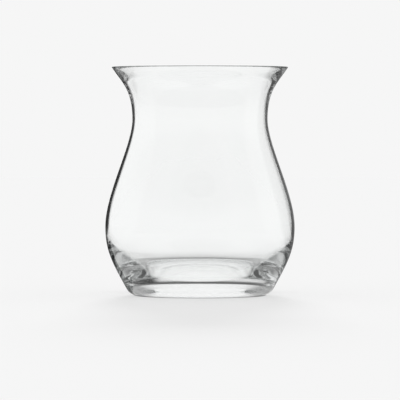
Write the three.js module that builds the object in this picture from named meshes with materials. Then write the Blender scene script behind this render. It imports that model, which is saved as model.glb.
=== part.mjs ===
// Posy vase blown in one piece from clear soda-lime glass.
// A heavy rounded base and a full belly draw in to a waist, then flare to a flat polished lip.
// Millimetres, +Z up, origin at the centre of the plane the foot stands on.
import * as THREE from 'three';

// Overall form of the outer skin
const HEIGHT = 170;
const RIM_RADIUS = 65.6;
const WAIST_RADIUS = 50.3;
const WAIST_HEIGHT = 131;
const BELLY_RADIUS = 70.5;
const BELLY_HEIGHT = 51;
const FOOT_RADIUS = 46.6;
const HEEL_RADIUS = 9.25;

// Lean of the outer skin away from upright, in degrees
const HEEL_LEAN = 29.4;
const RIM_LEAN = 33;

// Thickness of the glass, square to the outer skin
const BELLY_WALL = 2.0;
const WAIST_WALL = 1.7;
const FLARE_WALL = 3.4;
const LIP_WALL = 2.4;

// Level thickness of the gathered glass beside the bowl, and the floor under it
const HEEL_WALL = 9.7;
const FLOOR_THICKNESS = 5;

// Bowl inside the base: its bottom is an arc that ends at this slope, in degrees
const BOWL_ROUND = 38;
const BOWL_SLOPE = 48;

// Small bevel ground on both edges of the lip, and the shallow hollow under the foot
const LIP_BEVEL = 0.4;
const KICK_RADIUS = 38;
const KICK_DEPTH = 1;

// Fullness of the curves: reach of each end tangent as a share of the rise it spans
const BELLY_FULLNESS_BELOW = 0.37;
const HEEL_FULLNESS = 0.5;
const BELLY_FULLNESS_ABOVE = 0.307;
const WAIST_FULLNESS_BELOW = 0.241;
const WAIST_FULLNESS_ABOVE = 0.57;
const RIM_FULLNESS = 0.336;
const BOWL_FULLNESS = 0.42;

// The flare is thickest at this share of the way along it from the waist
const FLARE_PEAK = 0.68;

// Facets round the axis and along each stretch of the outline
const FACETS_ROUND = 64;
const CURVE_STEPS = 7;
const ARC_STEPS = 4;

// Unit direction along the skin, going up and leaning outwards
function leaning(degrees) {
  const angle = THREE.MathUtils.degToRad(degrees);
  return new THREE.Vector2(Math.sin(angle), Math.cos(angle));
}

// Point on a rising curve at a given height
function pointAtHeight(curve, height) {
  let low = 0;
  let high = 1;
  while (high - low > 1e-9) {
    const middle = (low + high) / 2;
    if (curve.getPoint(middle).y < height) low = middle;
    else high = middle;
  }
  return curve.getPoint(low);
}

// Points of the inner skin, level with those of the outer skin and one wall further in
function innerSkin(curve, wallAt) {
  const points = [];
  for (let step = 0; step <= CURVE_STEPS; step += 1) {
    const along = step / CURVE_STEPS;
    const point = curve.getPoint(along);
    point.x -= wallAt(along) / curve.getTangent(along).y;
    points.push(point);
  }
  return points;
}

// Eased change from one wall thickness to another
function blend(from, to, share) {
  return THREE.MathUtils.lerp(from, to, THREE.MathUtils.smoothstep(share, 0, 1));
}

// Wall of the shoulder, thinning from the belly to the waist
function shoulderWall(along) {
  return blend(BELLY_WALL, WAIST_WALL, along);
}

// Wall of the flare, swelling above the waist and thinning again to the lip
function flareWall(along) {
  if (along < FLARE_PEAK) return blend(WAIST_WALL, FLARE_WALL, along / FLARE_PEAK);
  return blend(FLARE_WALL, LIP_WALL, (along - FLARE_PEAK) / (1 - FLARE_PEAK));
}

// Stations of the outer skin, as radius and height
const heelLean = THREE.MathUtils.degToRad(HEEL_LEAN);
const heelTop = new THREE.Vector2(
  FOOT_RADIUS + HEEL_RADIUS * Math.cos(heelLean),
  HEEL_RADIUS * (1 - Math.sin(heelLean)),
);
const belly = new THREE.Vector2(BELLY_RADIUS, BELLY_HEIGHT);
const waist = new THREE.Vector2(WAIST_RADIUS, WAIST_HEIGHT);
const rim = new THREE.Vector2(RIM_RADIUS, HEIGHT - LIP_BEVEL);

// Outer skin from the heel to the rim
const lowerRise = BELLY_HEIGHT - heelTop.y;
const lowerWall = new THREE.CubicBezierCurve(
  heelTop,
  heelTop.clone().addScaledVector(leaning(HEEL_LEAN), HEEL_FULLNESS * lowerRise),
  new THREE.Vector2(BELLY_RADIUS, BELLY_HEIGHT - BELLY_FULLNESS_BELOW * lowerRise),
  belly,
);
const shoulderRise = WAIST_HEIGHT - BELLY_HEIGHT;
const shoulder = new THREE.CubicBezierCurve(
  belly,
  new THREE.Vector2(BELLY_RADIUS, BELLY_HEIGHT + BELLY_FULLNESS_ABOVE * shoulderRise),
  new THREE.Vector2(WAIST_RADIUS, WAIST_HEIGHT - WAIST_FULLNESS_BELOW * shoulderRise),
  waist,
);
const flareRise = rim.y - WAIST_HEIGHT;
const flare = new THREE.CubicBezierCurve(
  waist,
  new THREE.Vector2(WAIST_RADIUS, WAIST_HEIGHT + WAIST_FULLNESS_ABOVE * flareRise),
  rim.clone().addScaledVector(leaning(RIM_LEAN), -RIM_FULLNESS * flareRise),
  rim,
);

// Bowl inside the base, from the inner belly down to the arc of its bottom
const bowlSlope = THREE.MathUtils.degToRad(BOWL_SLOPE);
const bowlEdgeHeight = FLOOR_THICKNESS + BOWL_ROUND * (1 - Math.cos(bowlSlope));
const bowlEdge = pointAtHeight(lowerWall, bowlEdgeHeight);
bowlEdge.x -= HEEL_WALL;
const innerBelly = new THREE.Vector2(BELLY_RADIUS - BELLY_WALL, BELLY_HEIGHT);
const bowlReach = BOWL_FULLNESS * innerBelly.distanceTo(bowlEdge);
const bowlSide = new THREE.CubicBezierCurve(
  innerBelly,
  new THREE.Vector2(innerBelly.x, BELLY_HEIGHT - bowlReach),
  bowlEdge.clone().addScaledVector(leaning(90 - BOWL_SLOPE), bowlReach),
  bowlEdge,
);
const bowlBottom = new THREE.EllipseCurve(
  bowlEdge.x - BOWL_ROUND * Math.sin(bowlSlope),
  FLOOR_THICKNESS + BOWL_ROUND,
  BOWL_ROUND,
  BOWL_ROUND,
  bowlSlope - Math.PI / 2,
  -Math.PI / 2,
  true,
);

// Underside: the hollow under the foot, the flat ring it stands on, and the rounded heel
const kick = new THREE.QuadraticBezierCurve(
  new THREE.Vector2(0, KICK_DEPTH),
  new THREE.Vector2(KICK_RADIUS / 2, KICK_DEPTH),
  new THREE.Vector2(KICK_RADIUS, 0),
);
const heel = new THREE.EllipseCurve(
  FOOT_RADIUS,
  HEEL_RADIUS,
  HEEL_RADIUS,
  HEEL_RADIUS,
  -Math.PI / 2,
  -heelLean,
);

// Lip: the bevelled edge, the flat polished face and the inner bevel
const innerFlare = innerSkin(flare, flareWall);
const innerRim = innerFlare.at(-1);
const lip = [
  new THREE.Vector2(rim.x - LIP_BEVEL, HEIGHT),
  new THREE.Vector2(innerRim.x + LIP_BEVEL, HEIGHT),
];

// Whole outline of the glass, from the axis under the foot round to the axis on the floor
const outline = [
  ...kick.getPoints(ARC_STEPS),
  ...heel.getPoints(ARC_STEPS),
  ...lowerWall.getPoints(CURVE_STEPS).slice(1),
  ...shoulder.getPoints(CURVE_STEPS).slice(1),
  ...flare.getPoints(CURVE_STEPS).slice(1),
  ...lip,
  ...innerFlare.reverse(),
  ...innerSkin(shoulder, shoulderWall).reverse().slice(1),
  ...bowlSide.getPoints(CURVE_STEPS).slice(1),
  ...bowlBottom.getPoints(ARC_STEPS).slice(1),
  new THREE.Vector2(0, FLOOR_THICKNESS),
];

const clearGlass = new THREE.MeshStandardMaterial({
  color: 0xf3f7f6,
  roughness: 0.03,
  metalness: 0,
  transparent: true,
  opacity: 0.35,
});

// The outline turned once round the axis, then stood upright
const glassVessel = new THREE.Mesh(new THREE.LatheGeometry(outline, FACETS_ROUND), clearGlass);
glassVessel.name = 'glass_vessel';
glassVessel.rotation.x = Math.PI / 2;

const posyVase = new THREE.Group();
posyVase.add(glassVessel);

export default posyVase;
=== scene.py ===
import bpy
import math
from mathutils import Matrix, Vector


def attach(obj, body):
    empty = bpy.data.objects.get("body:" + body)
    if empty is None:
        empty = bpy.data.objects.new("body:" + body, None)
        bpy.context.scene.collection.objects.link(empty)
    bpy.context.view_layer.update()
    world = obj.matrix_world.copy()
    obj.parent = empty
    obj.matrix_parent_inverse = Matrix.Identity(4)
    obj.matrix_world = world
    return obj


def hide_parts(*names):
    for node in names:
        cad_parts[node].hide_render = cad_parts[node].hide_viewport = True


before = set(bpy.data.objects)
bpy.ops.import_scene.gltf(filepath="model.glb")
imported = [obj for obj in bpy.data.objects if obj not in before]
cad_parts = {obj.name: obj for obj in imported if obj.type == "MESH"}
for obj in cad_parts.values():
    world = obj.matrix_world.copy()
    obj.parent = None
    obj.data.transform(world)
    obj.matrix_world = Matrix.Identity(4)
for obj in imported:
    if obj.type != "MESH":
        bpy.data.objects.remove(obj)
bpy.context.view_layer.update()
scene = bpy.context.scene


# The vessel: one bubble of clear soda-lime glass, blown so that most of the gather stays in the base.
# Its belly and waist are free-blown and ripple a little, and its mouth is flared while hot.
# Only the lip and the ring that it stands on are ground flat: the lip is polished, the ring stays matt.
HEIGHT = 0.170
RIM_RADIUS = 0.0656
WAIST_RADIUS = 0.0503
WAIST_HEIGHT = 0.131
BELLY_RADIUS = 0.0705
BELLY_HEIGHT = 0.051
FOOT_RADIUS = 0.0466
HEEL_RADIUS = 0.00925
HEEL_LEAN = math.radians(29.4)
RIM_LEAN = math.radians(33)
BELLY_WALL = 0.0020
WAIST_WALL = 0.0017
FLARE_WALL = 0.0034
LIP_WALL = 0.0024
HEEL_WALL = 0.0097
FLOOR_THICKNESS = 0.005
BOWL_ROUND = 0.038
BOWL_SLOPE = math.radians(48)
LIP_BEVEL = 0.0004
KICK_RADIUS = 0.038
KICK_DEPTH = 0.001
# Fullness of the curves: reach of each end's slope as a share of the rise that it spans
BELLY_FULLNESS_BELOW = 0.37
HEEL_FULLNESS = 0.5
BELLY_FULLNESS_ABOVE = 0.307
WAIST_FULLNESS_BELOW = 0.241
WAIST_FULLNESS_ABOVE = 0.57
RIM_FULLNESS = 0.336
BOWL_FULLNESS = 0.42
FLARE_PEAK = 0.68
# Steps along the outline and round the axis, and how the turned skin is closed and smoothed
STRETCH_STEPS = 28
ARC_STEPS = 12
FACETS_ROUND = 224
SEARCH_END = 1e-9
CLOSING_GAP = 0.000001
SHARP_BEND = math.radians(30)
# Ripple of the free-blown skin, which dies out near the foot and the lip
RIPPLE_DEPTH = 0.00008
RIPPLE_LENGTH = 0.045
RIPPLE_SEED = 7.0
RIPPLE_DETAIL = 1
STILL_FOOT = 0.003
STILL_LIP = 0.001
STILL_FADE = 0.012
NOISE_MIDDLE = 0.5
# Glass: its colour, the polish of each part of its skin, and the cords drawn out in it
GLASS_INDEX = 1.5
GLASS_TINT = ((0.0, (0.985, 0.996, 0.992, 1)), (1.0, (1.0, 1.0, 1.0, 1)))
GLASS_DEPTH_COLOUR = (0.30, 0.36, 0.35, 1)
GLASS_DEPTH_DENSITY = 2.0
FIRE_POLISH = 0.0
HAZE = 0.012
SMEAR_SCALE = 22
SMEAR_DETAIL = 4
SMEAR_ENDS = (0.52, 0.75)
LIP_POLISH = 0.06
FOOT_GRIND = 0.32
GRIND_GRAIN = 900
GRAIN_DETAIL = 3
MARKS_PER_GRAIN = 4
GROUND_DEPTH = 0.0002
GROUND_EDGE = 0.0006
PAST_GROUND = 0.001
CORD_DEPTH = 0.000012
CORD_SCALE = 60
CORD_STRETCH = 0.12
CORD_DETAIL = 2


def bezier(points, share):
    while len(points) > 1:
        points = [a.lerp(b, share) for a, b in zip(points, points[1:])]
    return points[0]


def stretch(points, steps):
    return [bezier(points, step / steps) for step in range(steps + 1)]


def arc(centre, radius, start, end, steps):
    turns = [start + (end - start) * step / steps for step in range(steps + 1)]
    return [centre + radius * Vector((math.cos(turn), math.sin(turn))) for turn in turns]


def leaning(angle):
    return Vector((math.sin(angle), math.cos(angle)))


def eased(first, last, share):
    return first + (last - first) * share * share * (3 - 2 * share)


def shoulder_wall(share):
    return eased(BELLY_WALL, WAIST_WALL, share)


def flare_wall(share):
    if share < FLARE_PEAK:
        return eased(WAIST_WALL, FLARE_WALL, share / FLARE_PEAK)
    return eased(FLARE_WALL, LIP_WALL, (share - FLARE_PEAK) / (1 - FLARE_PEAK))


def inner_skin(points, wall_at):
    slopes = [b - a for a, b in zip(points, points[1:])]
    skin = []
    for step in range(STRETCH_STEPS + 1):
        share = step / STRETCH_STEPS
        upright = bezier(slopes, share).normalized().y
        skin.append(bezier(points, share) - Vector((wall_at(share) / upright, 0)))
    return skin


heel_centre = Vector((FOOT_RADIUS, HEEL_RADIUS))
heel_top = heel_centre + HEEL_RADIUS * Vector((math.cos(HEEL_LEAN), -math.sin(HEEL_LEAN)))
belly = Vector((BELLY_RADIUS, BELLY_HEIGHT))
waist = Vector((WAIST_RADIUS, WAIST_HEIGHT))
rim = Vector((RIM_RADIUS, HEIGHT - LIP_BEVEL))
lower_rise = BELLY_HEIGHT - heel_top.y
shoulder_rise = WAIST_HEIGHT - BELLY_HEIGHT
flare_rise = rim.y - WAIST_HEIGHT
lower_wall = [
    heel_top,
    heel_top + HEEL_FULLNESS * lower_rise * leaning(HEEL_LEAN),
    belly - Vector((0, BELLY_FULLNESS_BELOW * lower_rise)),
    belly,
]
shoulder = [
    belly,
    belly + Vector((0, BELLY_FULLNESS_ABOVE * shoulder_rise)),
    waist - Vector((0, WAIST_FULLNESS_BELOW * shoulder_rise)),
    waist,
]
flare = [
    waist,
    waist + Vector((0, WAIST_FULLNESS_ABOVE * flare_rise)),
    rim - RIM_FULLNESS * flare_rise * leaning(RIM_LEAN),
    rim,
]

# The bowl's edge lies level with a point of the lower wall, which is found by halving
bowl_edge_height = FLOOR_THICKNESS + BOWL_ROUND * (1 - math.cos(BOWL_SLOPE))
low = 0.0
high = 1.0
while high - low > SEARCH_END:
    middle = (low + high) / 2
    if bezier(lower_wall, middle).y < bowl_edge_height:
        low = middle
    else:
        high = middle
bowl_edge = bezier(lower_wall, low) - Vector((HEEL_WALL, 0))
inner_belly = belly - Vector((BELLY_WALL, 0))
bowl_reach = BOWL_FULLNESS * (inner_belly - bowl_edge).length
bowl_side = [
    inner_belly,
    inner_belly - Vector((0, bowl_reach)),
    bowl_edge + bowl_reach * leaning(math.pi / 2 - BOWL_SLOPE),
    bowl_edge,
]
bowl_centre = Vector((bowl_edge.x - BOWL_ROUND * math.sin(BOWL_SLOPE), FLOOR_THICKNESS + BOWL_ROUND))
kick = [Vector((0, KICK_DEPTH)), Vector((KICK_RADIUS / 2, KICK_DEPTH)), Vector((KICK_RADIUS, 0))]
inner_flare = inner_skin(flare, flare_wall)
lip = [
    Vector((rim.x - LIP_BEVEL, HEIGHT)),
    Vector((inner_flare[-1].x + LIP_BEVEL, HEIGHT)),
]

# Whole outline of the glass, from the axis under the foot round to the axis on the floor
ground_foot = stretch(kick, ARC_STEPS)
free_skin = (
    arc(heel_centre, HEEL_RADIUS, -math.pi / 2, -HEEL_LEAN, ARC_STEPS)
    + stretch(lower_wall, STRETCH_STEPS)[1:]
    + stretch(shoulder, STRETCH_STEPS)[1:]
    + stretch(flare, STRETCH_STEPS)[1:]
)
free_bowl = (
    inner_flare[::-1]
    + inner_skin(shoulder, shoulder_wall)[::-1][1:]
    + stretch(bowl_side, STRETCH_STEPS)[1:]
    + arc(bowl_centre, BOWL_ROUND, BOWL_SLOPE - math.pi / 2, -math.pi / 2, ARC_STEPS)[1:]
    + [Vector((0, FLOOR_THICKNESS))]
)
outline = ground_foot + free_skin + lip + free_bowl

outline_mesh = bpy.data.meshes.new("glass_outline")
outline_mesh.from_pydata(
    [(point.x, 0, point.y) for point in outline],
    [(step, step + 1) for step in range(len(outline) - 1)],
    [],
)
hand_blown = outline_mesh.attributes.new("hand_blown", "FLOAT", "POINT")
for step, point in enumerate(outline):
    from_foot = min(1, max(0, (point.y - STILL_FOOT) / STILL_FADE))
    from_lip = min(1, max(0, (HEIGHT - STILL_LIP - point.y) / STILL_FADE))
    hand_blown.data[step].value = from_foot * from_lip

turning = bpy.data.node_groups.new("turn_the_outline", "GeometryNodeTree")
turning.is_modifier = True
sockets = turning.interface
sockets.new_socket("Outline", in_out="INPUT", socket_type="NodeSocketGeometry")
facets_socket = sockets.new_socket("Facets round", in_out="INPUT", socket_type="NodeSocketInt")
depth_socket = sockets.new_socket("Ripple depth", in_out="INPUT", socket_type="NodeSocketFloat")
length_socket = sockets.new_socket("Ripple length", in_out="INPUT", socket_type="NodeSocketFloat")
seed_socket = sockets.new_socket("Ripple seed", in_out="INPUT", socket_type="NodeSocketFloat")
glass_socket = sockets.new_socket("Glass", in_out="INPUT", socket_type="NodeSocketMaterial")
sockets.new_socket("Vessel", in_out="OUTPUT", socket_type="NodeSocketGeometry")


def node(tree, kind, **settings):
    made = tree.nodes.new(kind)
    for name, value in settings.items():
        setattr(made, name, value)
    return made


def feed(tree, source, target):
    tree.links.new(source, target)


def reckon(tree, operation, first, second=0):
    made = node(tree, "ShaderNodeMath", operation=operation)
    for socket, value in zip(made.inputs, (first, second)):
        if isinstance(value, (int, float)):
            socket.default_value = value
        else:
            feed(tree, value, socket)
    return made.outputs[0]


def times(tree, first, *others):
    for other in others:
        first = reckon(tree, "MULTIPLY", first, other)
    return first


def between(tree, value, ends, fade, last_fade=None):
    edges = []
    for end, outer in ((ends[0], ends[0] - fade), (ends[1], ends[1] + (last_fade or fade))):
        edge = node(tree, "ShaderNodeMapRange", interpolation_type="SMOOTHSTEP")
        edge.inputs["From Min"].default_value = outer
        edge.inputs["From Max"].default_value = end
        feed(tree, value, edge.inputs["Value"])
        edges.append(edge.outputs[0])
    return times(tree, *edges)


# A sheet with one row for each point of the outline is rolled round the axis, then closed along its seam
given = node(turning, "NodeGroupInput").outputs
rings = node(turning, "GeometryNodeAttributeDomainSize", component="MESH")
feed(turning, given["Outline"], rings.inputs["Geometry"])
columns = reckon(turning, "ADD", given["Facets round"], 1)
sheet = node(turning, "GeometryNodeMeshGrid")
feed(turning, rings.outputs["Point Count"], sheet.inputs["Vertices X"])
feed(turning, columns, sheet.inputs["Vertices Y"])
index = node(turning, "GeometryNodeInputIndex").outputs[0]
ring = reckon(turning, "FLOOR", reckon(turning, "DIVIDE", index, columns))
column = reckon(turning, "MODULO", index, columns)
turn = times(turning, reckon(turning, "DIVIDE", column, given["Facets round"]), 2 * math.pi)

place = node(turning, "GeometryNodeSampleIndex", data_type="FLOAT_VECTOR", domain="POINT")
feed(turning, given["Outline"], place.inputs["Geometry"])
feed(turning, node(turning, "GeometryNodeInputPosition").outputs[0], place.inputs["Value"])
feed(turning, ring, place.inputs["Index"])
turned = node(turning, "ShaderNodeVectorRotate", rotation_type="Z_AXIS")
feed(turning, place.outputs[0], turned.inputs["Vector"])
feed(turning, turn, turned.inputs["Angle"])
shell = node(turning, "GeometryNodeSetPosition")
feed(turning, sheet.outputs["Mesh"], shell.inputs["Geometry"])
feed(turning, turned.outputs[0], shell.inputs["Position"])

freedom = node(turning, "GeometryNodeSampleIndex", data_type="FLOAT", domain="POINT")
blown = node(turning, "GeometryNodeInputNamedAttribute", data_type="FLOAT")
blown.inputs["Name"].default_value = "hand_blown"
feed(turning, given["Outline"], freedom.inputs["Geometry"])
feed(turning, blown.outputs["Attribute"], freedom.inputs["Value"])
feed(turning, ring, freedom.inputs["Index"])
kept_freedom = node(turning, "GeometryNodeStoreNamedAttribute", data_type="FLOAT", domain="POINT")
kept_freedom.inputs["Name"].default_value = "hand_blown"
feed(turning, shell.outputs[0], kept_freedom.inputs["Geometry"])
feed(turning, freedom.outputs[0], kept_freedom.inputs["Value"])
closed = node(turning, "GeometryNodeMergeByDistance")
closed.inputs["Distance"].default_value = CLOSING_GAP
feed(turning, kept_freedom.outputs[0], closed.inputs["Geometry"])
faced = node(turning, "GeometryNodeFlipFaces")
feed(turning, closed.outputs[0], faced.inputs["Mesh"])

ripple = node(turning, "ShaderNodeTexNoise", noise_dimensions="4D")
ripple.inputs["Detail"].default_value = RIPPLE_DETAIL
feed(turning, given["Ripple seed"], ripple.inputs["W"])
feed(turning, reckon(turning, "DIVIDE", 1, given["Ripple length"]), ripple.inputs["Scale"])
blown_here = node(turning, "GeometryNodeInputNamedAttribute", data_type="FLOAT")
blown_here.inputs["Name"].default_value = "hand_blown"
swing = reckon(turning, "SUBTRACT", ripple.outputs[0], NOISE_MIDDLE)
swing = reckon(turning, "DIVIDE", swing, NOISE_MIDDLE)
swing = times(turning, swing, given["Ripple depth"], blown_here.outputs["Attribute"])
outwards = node(turning, "ShaderNodeVectorMath", operation="SCALE")
feed(turning, node(turning, "GeometryNodeInputNormal").outputs[0], outwards.inputs[0])
feed(turning, swing, outwards.inputs["Scale"])
rippled = node(turning, "GeometryNodeSetPosition")
feed(turning, faced.outputs[0], rippled.inputs["Geometry"])
feed(turning, outwards.outputs[0], rippled.inputs["Offset"])

bend = node(turning, "GeometryNodeInputMeshEdgeAngle")
gentle = node(turning, "FunctionNodeCompare", data_type="FLOAT", operation="LESS_THAN")
gentle.inputs["B"].default_value = SHARP_BEND
feed(turning, bend.outputs["Unsigned Angle"], gentle.inputs["A"])
smooth_faces = node(turning, "GeometryNodeSetShadeSmooth", domain="FACE")
smooth_edges = node(turning, "GeometryNodeSetShadeSmooth", domain="EDGE")
feed(turning, rippled.outputs[0], smooth_faces.inputs["Geometry"])
feed(turning, smooth_faces.outputs[0], smooth_edges.inputs["Geometry"])
feed(turning, gentle.outputs[0], smooth_edges.inputs["Shade Smooth"])
whole = node(turning, "GeometryNodeRealizeInstances")
feed(turning, smooth_edges.outputs[0], whole.inputs[0])
dressed = node(turning, "GeometryNodeSetMaterial")
feed(turning, whole.outputs[0], dressed.inputs["Geometry"])
feed(turning, given["Glass"], dressed.inputs["Material"])
result = node(turning, "NodeGroupOutput")
feed(turning, dressed.outputs[0], result.inputs["Vessel"])

clear_glass = bpy.data.materials.new("clear_blown_glass")
clear_glass.use_nodes = True
shading = clear_glass.node_tree
glass = shading.nodes["Principled BSDF"]
glass.inputs["IOR"].default_value = GLASS_INDEX
glass.inputs["Metallic"].default_value = 0.0
glass.inputs["Transmission Weight"].default_value = 1.0
spot = node(shading, "ShaderNodeTexCoord").outputs["Object"]
parts = node(shading, "ShaderNodeSeparateXYZ")
feed(shading, spot, parts.inputs[0])
level_spot = node(shading, "ShaderNodeCombineXYZ")
feed(shading, parts.outputs["X"], level_spot.inputs["X"])
feed(shading, parts.outputs["Y"], level_spot.inputs["Y"])
from_axis = node(shading, "ShaderNodeVectorMath", operation="LENGTH")
feed(shading, level_spot.outputs[0], from_axis.inputs[0])
on_table = between(shading, parts.outputs["Z"], (-PAST_GROUND, GROUND_DEPTH), GROUND_DEPTH)
ground = between(shading, from_axis.outputs["Value"], (KICK_RADIUS, FOOT_RADIUS), GROUND_EDGE)
ground = times(shading, ground, on_table)
lip_band = (HEIGHT - GROUND_DEPTH, HEIGHT + PAST_GROUND)
ground_lip = between(shading, parts.outputs["Z"], lip_band, GROUND_DEPTH)

grain = node(shading, "ShaderNodeTexNoise")
grain.inputs["Scale"].default_value = GRIND_GRAIN
grain.inputs["Detail"].default_value = GRAIN_DETAIL
feed(shading, spot, grain.inputs["Vector"])
turning_marks = node(shading, "ShaderNodeTexNoise", noise_dimensions="1D")
turning_marks.inputs["Scale"].default_value = MARKS_PER_GRAIN * GRIND_GRAIN
feed(shading, from_axis.outputs["Value"], turning_marks.inputs["W"])
smears = node(shading, "ShaderNodeTexNoise")
smears.inputs["Scale"].default_value = SMEAR_SCALE
smears.inputs["Detail"].default_value = SMEAR_DETAIL
feed(shading, spot, smears.inputs["Vector"])
haze = node(shading, "ShaderNodeMapRange")
haze.inputs["From Min"].default_value = SMEAR_ENDS[0]
haze.inputs["From Max"].default_value = SMEAR_ENDS[1]
haze.inputs["To Min"].default_value = FIRE_POLISH
haze.inputs["To Max"].default_value = HAZE
feed(shading, smears.outputs[0], haze.inputs["Value"])
ground_rough = reckon(shading, "ADD", grain.outputs[0], NOISE_MIDDLE)
ground_rough = times(shading, ground_rough, FOOT_GRIND, ground)
lip_rough = times(shading, turning_marks.outputs[0], LIP_POLISH, ground_lip)
rough = reckon(shading, "ADD", haze.outputs[0], ground_rough)
rough = reckon(shading, "ADD", rough, lip_rough)
feed(shading, rough, glass.inputs["Roughness"])

drawn_out = node(shading, "ShaderNodeMapping")
drawn_out.inputs["Scale"].default_value = (1, 1, CORD_STRETCH)
feed(shading, spot, drawn_out.inputs["Vector"])
cords = node(shading, "ShaderNodeTexNoise")
cords.inputs["Scale"].default_value = CORD_SCALE
cords.inputs["Detail"].default_value = CORD_DETAIL
feed(shading, drawn_out.outputs[0], cords.inputs["Vector"])
blown_wall = node(shading, "ShaderNodeAttribute", attribute_name="hand_blown")
relief = times(shading, cords.outputs[0], blown_wall.outputs["Fac"])
skin = node(shading, "ShaderNodeBump")
skin.inputs["Distance"].default_value = CORD_DEPTH
feed(shading, relief, skin.inputs["Height"])
feed(shading, skin.outputs[0], glass.inputs["Normal"])
tint = node(shading, "ShaderNodeValToRGB")
for stop, (position, colour) in zip(tint.color_ramp.elements, GLASS_TINT):
    stop.position = position
    stop.color = colour
feed(shading, cords.outputs[0], tint.inputs[0])
feed(shading, tint.outputs[0], glass.inputs["Base Color"])
depth = node(shading, "ShaderNodeVolumeAbsorption")
depth.inputs["Color"].default_value = GLASS_DEPTH_COLOUR
depth.inputs["Density"].default_value = GLASS_DEPTH_DENSITY
feed(shading, depth.outputs[0], shading.nodes["Material Output"].inputs["Volume"])

outline_holder = bpy.data.objects.new("glass_outline", outline_mesh)
scene.collection.objects.link(outline_holder)
lathe = outline_holder.modifiers.new("turn", "NODES")
lathe.node_group = turning
lathe[facets_socket.identifier] = FACETS_ROUND
lathe[depth_socket.identifier] = RIPPLE_DEPTH
lathe[length_socket.identifier] = RIPPLE_LENGTH
lathe[seed_socket.identifier] = RIPPLE_SEED
lathe[glass_socket.identifier] = clear_glass
bpy.context.view_layer.update()
turned_outline = outline_holder.evaluated_get(bpy.context.evaluated_depsgraph_get())
turned_mesh = bpy.data.meshes.new_from_object(turned_outline)
turned_mesh.name = "blown_vessel"
vessel = bpy.data.objects.new("blown_vessel", turned_mesh)
scene.collection.objects.link(vessel)
outline_holder.modifiers.remove(lathe)
bpy.data.objects.remove(outline_holder)
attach(vessel, "root")
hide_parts("glass_vessel")


# The table top: a pale matt sheet that runs on behind the vase and glows a little, as lit acrylic does.
# It has a painted dark line where the foot touches it, painted light under the base and painted shade
# round the heel, and takes the vase's faint shadow from the lamp.
# Clear glass shows only what is round it, so the sides of the room and parts of the table are painted
# dark for light seen in the glass.
PAPER_WHITE = 0.9216
SEEN_IN_GLASS = 0.95
TABLE_GLOW = 0.60
TABLE_MATT = 0.25
TABLE_REACH = 6.0
TABLE_DROP = 0.0002
FAR_TABLE = (0.4, 20.0)
FAR_FADE = 0.1
# Painted shade of the foot and the heel, and painted light under the base, as distances and how bright
# the table is there
RAMP_TOP = 2
SHADE_REACH = 0.12
FOOT_PAINTED_STOPS = ((0.0, 1.32), (0.0440, 1.32), (0.0452, 0.15), (0.0475, 0.15), (0.050, 1.0))
SHADE_STOPS = ((0.028, 0.2), (0.035, 0.32), (0.040, 0.64), (0.051, 0.82), (0.070, 0.94), (0.092, 1.0))
SHADE_CENTRE = (0, 0.02, 0)
SHADE_SIDES = (math.radians(-15), math.radians(15))
SHADE_FADE = math.radians(65)
BEYOND_FOOT = (0.0452, 2 * TABLE_REACH)
BEYOND_FADE = 0.001
# Painted dark sides of the room, seen in the glass only, as bearings from straight behind the vase, to
# the right when positive
DARK_LEFT = (math.radians(-26), math.radians(-9))
DARK_RIGHT = (math.radians(12), math.radians(33))
LOW_LEFT = (math.radians(-12), math.radians(-3))
LOW_RIGHT = (math.radians(5), math.radians(15))
ROOM_ENDS = (math.radians(30), math.radians(60))
ROOM_FRONT = (math.radians(100), math.radians(190))
RIGHT_WALL = (math.radians(66), math.radians(110))
DIM_RIGHT = (math.radians(-2), math.radians(60))
SIDE_FADE = math.radians(3)
SOFT_FADE = math.radians(9)
DARK_LEVEL = 0.04
DIM_LEVEL = 0.26
FRONT_SHARE = 0.5
LED_SHARE = 0.6
# Counts that tell paths of light apart: turns back at a skin, and skins passed of a single wall
ONE_TURN = 1.5
FEW_TURNS = 5.5
MANY_TURNS = 11.5
ONE_WALL = 2.5
# Painted dark patches of the table near the foot, seen in the glass only, as bearings and distances from
# the axis
# The bearings of NEAR_LEFT alone are taken from a point at the left edge of the heel
HEEL_EDGE = (-0.06, -0.015, 0)
NEAR_LEFT = (math.radians(-33), math.radians(45))
NEAR_SIDE = (math.radians(-110), math.radians(-9))
NEAR_REACH = (0.06, 0.4)
NEAR_FADE = 0.02
HEEL_LEFT = (math.radians(-100), math.radians(-30))
HEEL_REACH = (0.05, 0.075)
HEEL_FADE = 0.004
UNDER_LEFT = (math.radians(-126), math.radians(-92))
UNDER_TAPER = math.radians(16)
UNDER_REACH = (0.0475, 0.075)
UNDER_FADE = 0.001
RING_SIDES = (math.radians(-95), math.radians(95))
RING_REACH = (0.0475, 0.0575)
RING_FADE = 0.0025
RING_SHARE = 0.5


def rest_of(tree, share):
    return reckon(tree, "SUBTRACT", 1, share)


def ramp(tree, value, reach, stops):
    curve = node(tree, "ShaderNodeFloatCurve")
    line = curve.mapping.curves[0].points
    line[0].location = (stops[0][0] / reach, stops[0][1] / RAMP_TOP)
    line[1].location = (1, stops[-1][1] / RAMP_TOP)
    for place, light in stops[1:]:
        line.new(place / reach, light / RAMP_TOP)
    for point in line:
        point.handle_type = "VECTOR"
    curve.mapping.update()
    feed(tree, reckon(tree, "DIVIDE", value, reach), curve.inputs["Value"])
    return times(tree, curve.outputs[0], RAMP_TOP)


def bearing_of(tree, place):
    parts = node(tree, "ShaderNodeSeparateXYZ")
    feed(tree, place, parts.inputs[0])
    return reckon(tree, "ARCTAN2", parts.outputs["X"], parts.outputs["Y"])


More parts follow.
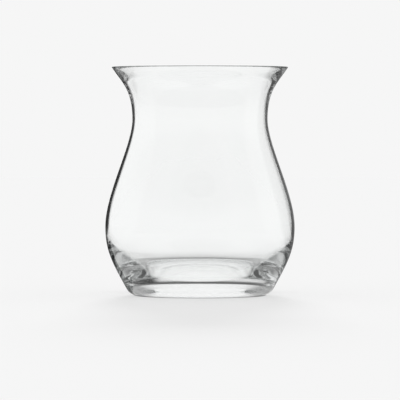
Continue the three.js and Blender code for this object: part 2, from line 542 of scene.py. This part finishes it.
def paths_of_light(tree):
    rays = node(tree, "ShaderNodeLightPath").outputs
    turns = rays["Glossy Depth"]
    passes = rays["Transmission Depth"]
    turned_back = reckon(tree, "MINIMUM", turns, 1)
    entered = reckon(tree, "MINIMUM", passes, 1)
    inside = times(tree, turned_back, entered)
    one_wall = reckon(tree, "LESS_THAN", passes, ONE_WALL)
    led = times(tree, one_wall, reckon(tree, "GREATER_THAN", turns, MANY_TURNS))
    in_wall = times(tree, inside, one_wall)
    again = times(tree, in_wall, reckon(tree, "GREATER_THAN", turns, ONE_TURN))
    return {
        "to camera": rays["Is Camera Ray"],
        "turned back": turned_back,
        "entered": entered,
        "inside": inside,
        "outside": reckon(tree, "SUBTRACT", turned_back, inside),
        "in wall": in_wall,
        "not led": reckon(tree, "SUBTRACT", one_wall, led),
        "led": led,
        "again": again,
        "again, few": times(tree, again, reckon(tree, "LESS_THAN", turns, FEW_TURNS)),
    }


def painted_dark_room_level(tree, paths, bearing, far, low):
    # Painted dark reflections: the room goes dark by bearing for light that the glass has turned back or
    # led along its wall
    left = times(tree, between(tree, bearing, LOW_LEFT, SIDE_FADE), low)
    left = reckon(tree, "MAXIMUM", left, between(tree, bearing, DARK_LEFT, SOFT_FADE, SIDE_FADE))
    left = times(tree, left, paths["not led"], paths["turned back"], far)
    right = times(tree, between(tree, bearing, LOW_RIGHT, SIDE_FADE), low)
    right = reckon(tree, "MAXIMUM", right, between(tree, bearing, DARK_RIGHT, SIDE_FADE, SOFT_FADE))
    right = times(tree, right, paths["not led"], paths["inside"])
    aside = reckon(tree, "ABSOLUTE", bearing)
    ends = times(tree, between(tree, aside, ROOM_ENDS, SOFT_FADE), paths["again"])
    front = times(tree, between(tree, aside, ROOM_FRONT, SOFT_FADE), paths["in wall"], far, FRONT_SHARE)
    right_wall = times(tree, between(tree, bearing, RIGHT_WALL, SIDE_FADE), paths["again, few"])
    dark = reckon(tree, "ADD", left, right)
    for shade in (ends, front, right_wall, times(tree, paths["led"], LED_SHARE)):
        dark = reckon(tree, "MAXIMUM", dark, shade)
    dim = times(tree, between(tree, bearing, DIM_RIGHT, SOFT_FADE), paths["outside"])
    lost = reckon(tree, "ADD", times(tree, dark, 1 - DARK_LEVEL), times(tree, dim, 1 - DIM_LEVEL))
    return rest_of(tree, lost)


table_mesh = bpy.data.meshes.new("table_top")
table_mesh.from_pydata(
    [(x * TABLE_REACH, y * TABLE_REACH, -TABLE_DROP) for x, y in ((-1, -1), (1, -1), (1, 1), (-1, 1))],
    [],
    [(0, 1, 2, 3)],
)
table_finish = bpy.data.materials.new("pale_table")
table_finish.use_nodes = True
shading = table_finish.node_tree
shading.nodes.clear()
spot = node(shading, "ShaderNodeTexCoord").outputs["Object"]
bearing = bearing_of(shading, spot)
from_centre = node(shading, "ShaderNodeVectorMath", operation="LENGTH")
feed(shading, spot, from_centre.inputs[0])
away = from_centre.outputs["Value"]
far_off = between(shading, away, FAR_TABLE, FAR_FADE)
paths = paths_of_light(shading)
# Painted dark reflections of the room on the table, seen in the glass only
level = painted_dark_room_level(shading, paths, bearing, far_off, far_off)

# Painted dark reflection to the left, for light turned back off the outside of the glass
from_heel = node(shading, "ShaderNodeVectorMath", operation="SUBTRACT")
from_heel.inputs[1].default_value = HEEL_EDGE
feed(shading, spot, from_heel.inputs[0])
painted_dark_near_left = times(
    shading,
    between(shading, bearing_of(shading, from_heel.outputs[0]), NEAR_LEFT, SIDE_FADE),
    between(shading, bearing, NEAR_SIDE, SIDE_FADE),
    between(shading, away, NEAR_REACH, NEAR_FADE),
)
painted_dark_heel_left = times(
    shading,
    between(shading, bearing, HEEL_LEFT, SIDE_FADE),
    between(shading, away, HEEL_REACH, HEEL_FADE),
)
painted_dark_near_left = reckon(shading, "MAXIMUM", painted_dark_near_left, painted_dark_heel_left)
painted_dark_near_left = times(shading, painted_dark_near_left, paths["outside"], 1 - DARK_LEVEL)

# Painted shade under the left of the heel and in a ring round the foot, for light that comes through the
# base
painted_shade_under_left = times(
    shading,
    between(shading, bearing, UNDER_LEFT, UNDER_TAPER, SIDE_FADE),
    between(shading, away, UNDER_REACH, UNDER_FADE),
    paths["in wall"],
)
painted_ring_shade = times(
    shading,
    between(shading, bearing, RING_SIDES, SOFT_FADE),
    between(shading, away, RING_REACH, RING_FADE),
    paths["entered"],
    RING_SHARE,
)

# Painted light under the base, a painted dark line at the foot's edge, and the painted soft shade behind
# the foot
foot_painted_light_and_shade = ramp(shading, away, SHADE_REACH, FOOT_PAINTED_STOPS)
from_shade = node(shading, "ShaderNodeVectorMath", operation="DISTANCE")
from_shade.inputs[1].default_value = SHADE_CENTRE
feed(shading, spot, from_shade.inputs[0])
painted_soft_shade = times(
    shading,
    rest_of(shading, ramp(shading, from_shade.outputs["Value"], SHADE_REACH, SHADE_STOPS)),
    between(shading, away, BEYOND_FOOT, BEYOND_FADE),
    between(shading, bearing, SHADE_SIDES, SHADE_FADE),
)
# The table's colour with all its painted light and shade
painted_tone = times(shading, foot_painted_light_and_shade, level)
for shade in (painted_soft_shade, painted_dark_near_left, painted_shade_under_left, painted_ring_shade):
    painted_tone = times(shading, painted_tone, rest_of(shading, shade))

strength = times(shading, rest_of(shading, paths["to camera"]), SEEN_IN_GLASS - PAPER_WHITE)
strength = reckon(shading, "ADD", strength, TABLE_GLOW)
glow = node(shading, "ShaderNodeEmission")
feed(shading, times(shading, strength, painted_tone), glow.inputs["Strength"])
matt = node(shading, "ShaderNodeBsdfDiffuse")
feed(shading, times(shading, painted_tone, TABLE_MATT), matt.inputs["Color"])
both = node(shading, "ShaderNodeAddShader")
surface = node(shading, "ShaderNodeOutputMaterial")
feed(shading, glow.outputs[0], both.inputs[0])
feed(shading, matt.outputs[0], both.inputs[1])
feed(shading, both.outputs[0], surface.inputs["Surface"])
table_mesh.materials.append(table_finish)
table = bpy.data.objects.new("table_top", table_mesh)
scene.collection.objects.link(table)


# The studio: an even pale surround that darkens overhead, so that the glass has something to show.
# The camera, and what it sees straight through the glass, meets the same pale background.
# Light turned back by the glass meets painted dark sides of the room or a painted dim right side, seen in
# the glass only.
LOW_SKY = (-1.0, 0.10)
LOW_FADE = 0.06
SKY_STOPS = ((0.62, 1.0), (0.75, 0.7), (1.0, 0.6))
surround = bpy.data.worlds.new("pale_studio")
scene.world = surround
surround.use_nodes = True
shading = surround.node_tree
shading.nodes.clear()
facing = node(shading, "ShaderNodeTexCoord").outputs["Generated"]
parts = node(shading, "ShaderNodeSeparateXYZ")
feed(shading, facing, parts.inputs[0])
near_horizon = between(shading, parts.outputs["Z"], LOW_SKY, LOW_FADE)
paths = paths_of_light(shading)
level = painted_dark_room_level(shading, paths, bearing_of(shading, facing), 1, near_horizon)
lift = node(shading, "ShaderNodeMapRange")
lift.inputs["From Min"].default_value = -1
feed(shading, parts.outputs["Z"], lift.inputs["Value"])
fade = node(shading, "ShaderNodeValToRGB")
fade.color_ramp.interpolation = "EASE"
feed(shading, lift.outputs[0], fade.inputs[0])
fade.color_ramp.elements[0].color = (1, 1, 1, 1)
for height, light in SKY_STOPS:
    fade.color_ramp.elements.new(height).color = (light, light, light, 1)
studio = node(shading, "ShaderNodeBackground")
feed(shading, fade.outputs[0], studio.inputs["Color"])
feed(shading, times(shading, level, SEEN_IN_GLASS), studio.inputs["Strength"])
backdrop = node(shading, "ShaderNodeBackground")
backdrop.inputs["Color"].default_value = (1, 1, 1, 1)
backdrop.inputs["Strength"].default_value = PAPER_WHITE
chosen = node(shading, "ShaderNodeMixShader")
feed(shading, paths["to camera"], chosen.inputs[0])
feed(shading, studio.outputs[0], chosen.inputs[1])
feed(shading, backdrop.outputs[0], chosen.inputs[2])
sky = node(shading, "ShaderNodeOutputWorld")
feed(shading, chosen.outputs[0], sky.inputs["Surface"])


# The low back light: a broad soft lamp behind the vase, which lays its shadow towards the camera.
# The glass shows the table and the surround only, so the lamp itself stays out of it.
LAMP_HEIGHT = math.radians(20)
LAMP_WIDTH = math.radians(16)
LAMP_STRENGTH = 4.2
back_light = bpy.data.lights.new("low_back_light", "SUN")
back_light.angle = LAMP_WIDTH
back_light.energy = LAMP_STRENGTH
lamp = bpy.data.objects.new("low_back_light", back_light)
scene.collection.objects.link(lamp)
lamp.rotation_euler = (LAMP_HEIGHT - math.pi / 2, 0, 0)
lamp.visible_camera = False
lamp.visible_glossy = False
lamp.visible_transmission = False


# The camera: a long lens far off, a little under the level of the lip, square to the vase.
# Light is followed through many turns, because thick glass leads it a long way before letting it out.
CAMERA_DISTANCE = 2.742
CAMERA_HEIGHT = 0.1275
AIM_HEIGHT = 0.0708
PICTURE_WIDTH = 0.29806
SENSOR_WIDTH = 36
SIGHT_REACH = 50
LIGHT_TURNS = 128
lens = bpy.data.cameras.new("camera")
lens.sensor_width = SENSOR_WIDTH
lens.lens = SENSOR_WIDTH * CAMERA_DISTANCE / PICTURE_WIDTH
lens.clip_end = SIGHT_REACH
camera = bpy.data.objects.new("camera", lens)
scene.collection.objects.link(camera)
camera.location = (0, -CAMERA_DISTANCE, CAMERA_HEIGHT)
aim = Vector((0, 0, AIM_HEIGHT)) - camera.location
camera.rotation_euler = aim.to_track_quat("-Z", "Y").to_euler()
scene.camera = camera
scene.view_settings.view_transform = "Standard"
scene.cycles.max_bounces = LIGHT_TURNS
scene.cycles.transmission_bounces = LIGHT_TURNS
scene.cycles.glossy_bounces = LIGHT_TURNS
